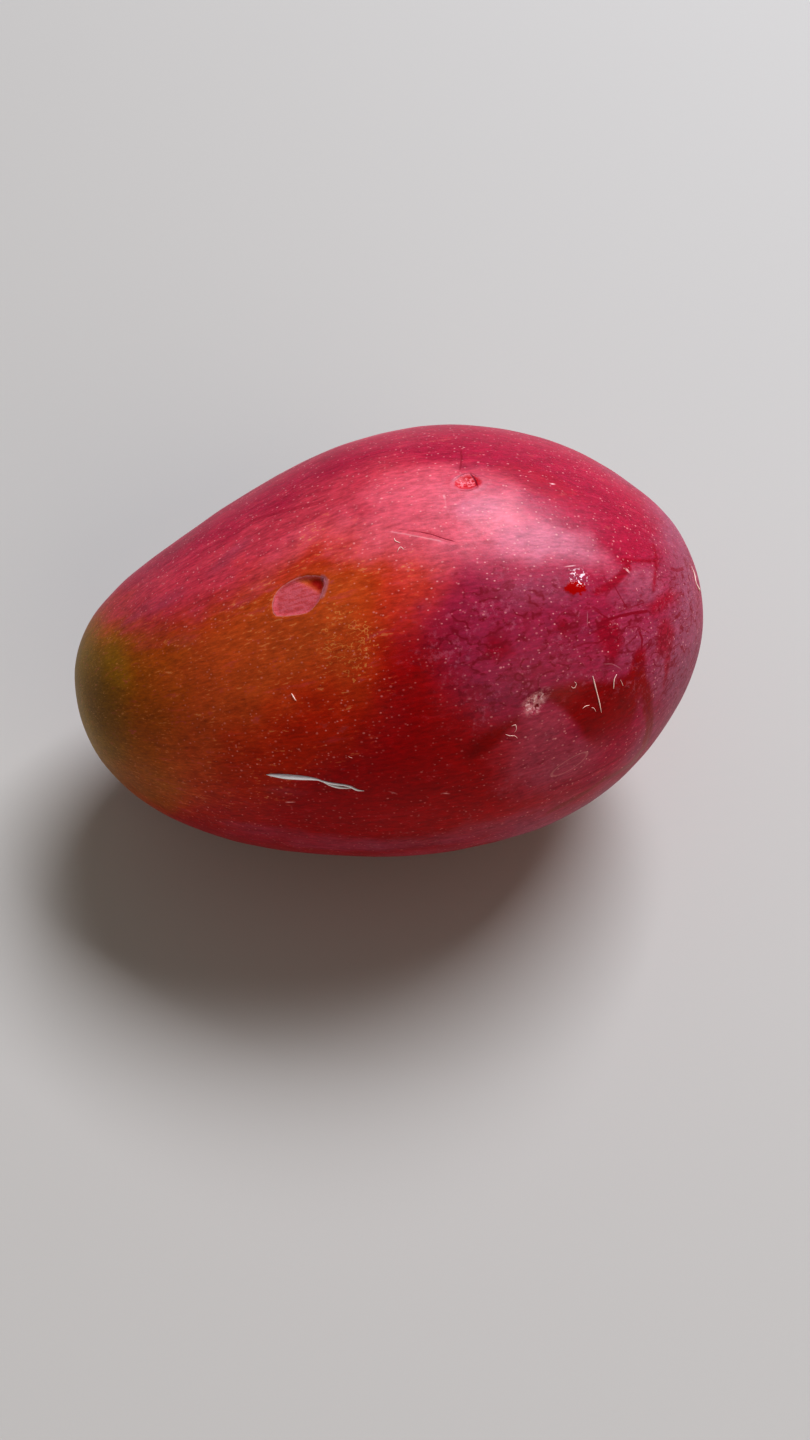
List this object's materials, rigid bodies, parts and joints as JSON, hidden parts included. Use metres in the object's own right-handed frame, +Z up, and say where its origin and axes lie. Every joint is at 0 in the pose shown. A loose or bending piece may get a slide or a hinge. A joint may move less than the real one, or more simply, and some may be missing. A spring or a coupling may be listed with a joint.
{
  "type": "mango",
  "caption": "Whole ripe mango lying on its flatter cheek: a bent, tapered egg with a narrow tip, a hollowed stem end with a corky scar, and a nick, scab and scuff in the skin.",
  "frame": {"origin": "on the ground under the middle of the fruit's box, with the fruit lying as it rests", "axes": "+X runs along the fruit from the narrow tip to the broad stem end, +Z is up, and -Y is the side with the marks"},
  "size_m": [0.1248, 0.087, 0.0785],
  "materials": {
    "skin": "waxy satin skin, crimson with an olive tip"
  },
  "bodies": {
    "root": {"mango": "skin"}
  },
  "joints": []
}
